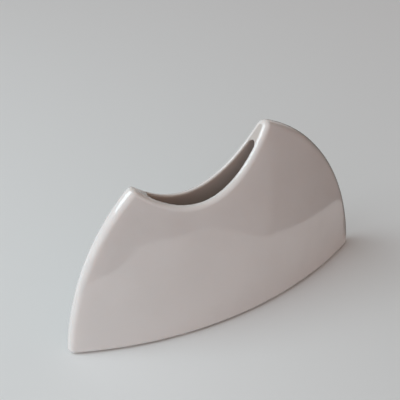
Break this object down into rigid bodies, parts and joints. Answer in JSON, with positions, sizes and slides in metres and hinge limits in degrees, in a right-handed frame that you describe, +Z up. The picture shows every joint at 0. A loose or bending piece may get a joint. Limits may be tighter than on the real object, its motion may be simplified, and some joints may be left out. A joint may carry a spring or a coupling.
{
  "type": "hanging wall vase",
  "caption": "White glazed ceramic wall vase with a flat back, a bowed front and a curved mouth between soft horns; round holes in the back hang it on wall screws.",
  "frame": {"origin": "centre of the underside of the bounding box, on the surface that the foot pads stand on", "axes": "+X along the vase to its right end as seen from the front, +Y from the bowed front to the wall, +Z up"},
  "size_m": [0.2396, 0.038, 0.1402],
  "materials": {
    "white_glaze": "gloss",
    "felt": "matte",
    "clear_rubber": "satin"
  },
  "bodies": {
    "root": {"vase_body": "white_glaze", "foot_pads": "felt", "wall_bumpers": "clear_rubber"}
  },
  "joints": []
}
